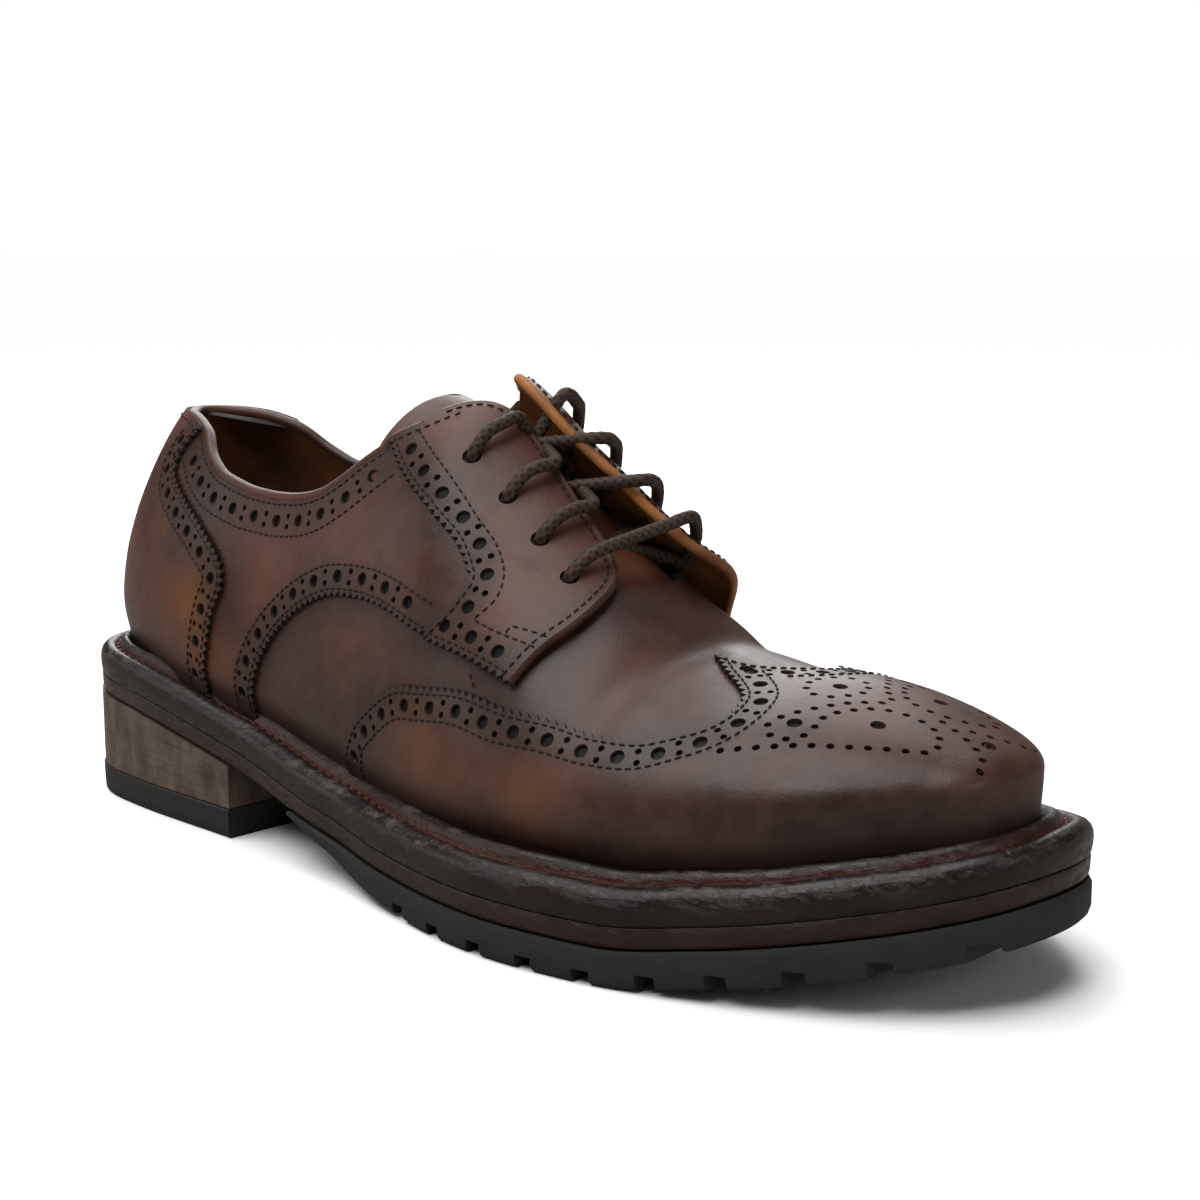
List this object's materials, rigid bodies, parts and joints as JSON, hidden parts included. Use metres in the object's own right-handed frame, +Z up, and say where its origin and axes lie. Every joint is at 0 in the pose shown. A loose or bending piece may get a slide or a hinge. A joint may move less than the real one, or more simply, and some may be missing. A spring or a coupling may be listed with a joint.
{
  "type": "full brogue derby shoe",
  "caption": "Right full brogue derby shoe with wing cap, counter, punched bands, open lacing and a chunky welted sole with a stacked heel and rubber half sole.",
  "frame": {"origin": "on the floor, under the middle of the sole's length and width", "axes": "+X toward the toe, +Y toward the inner side of the foot, +Z up"},
  "size_m": [0.312, 0.1152, 0.1221],
  "materials": {
    "calf": "burnished smooth calf, semi-gloss",
    "cap": "burnished smooth calf, glossier at the toe",
    "counter": "burnished smooth calf, greyish sheen",
    "tongue": "smooth calf",
    "lining": "vegetable-tanned lining leather, matt",
    "welt": "dark stained welt leather, worn top edge",
    "midsole": "dark stained sole leather edge",
    "stack": "stacked leather lifts, scratched, satin",
    "rubber": "matt moulded rubber",
    "lace": "waxed braided cord"
  },
  "bodies": {
    "root": {"heel_top_lift": "rubber", "heel_stack": "stack", "half_sole": "rubber", "midsole": "midsole", "welt": "welt", "insole": "lining", "upper": "calf", "toe_cap": "cap", "counter": "counter", "facing_outer": "calf", "facing_inner": "calf", "tongue": "tongue", "lace_row_1": "lace", "lace_row_2": "lace", "lace_row_3": "lace", "lace_row_4": "lace"}
  },
  "joints": []
}
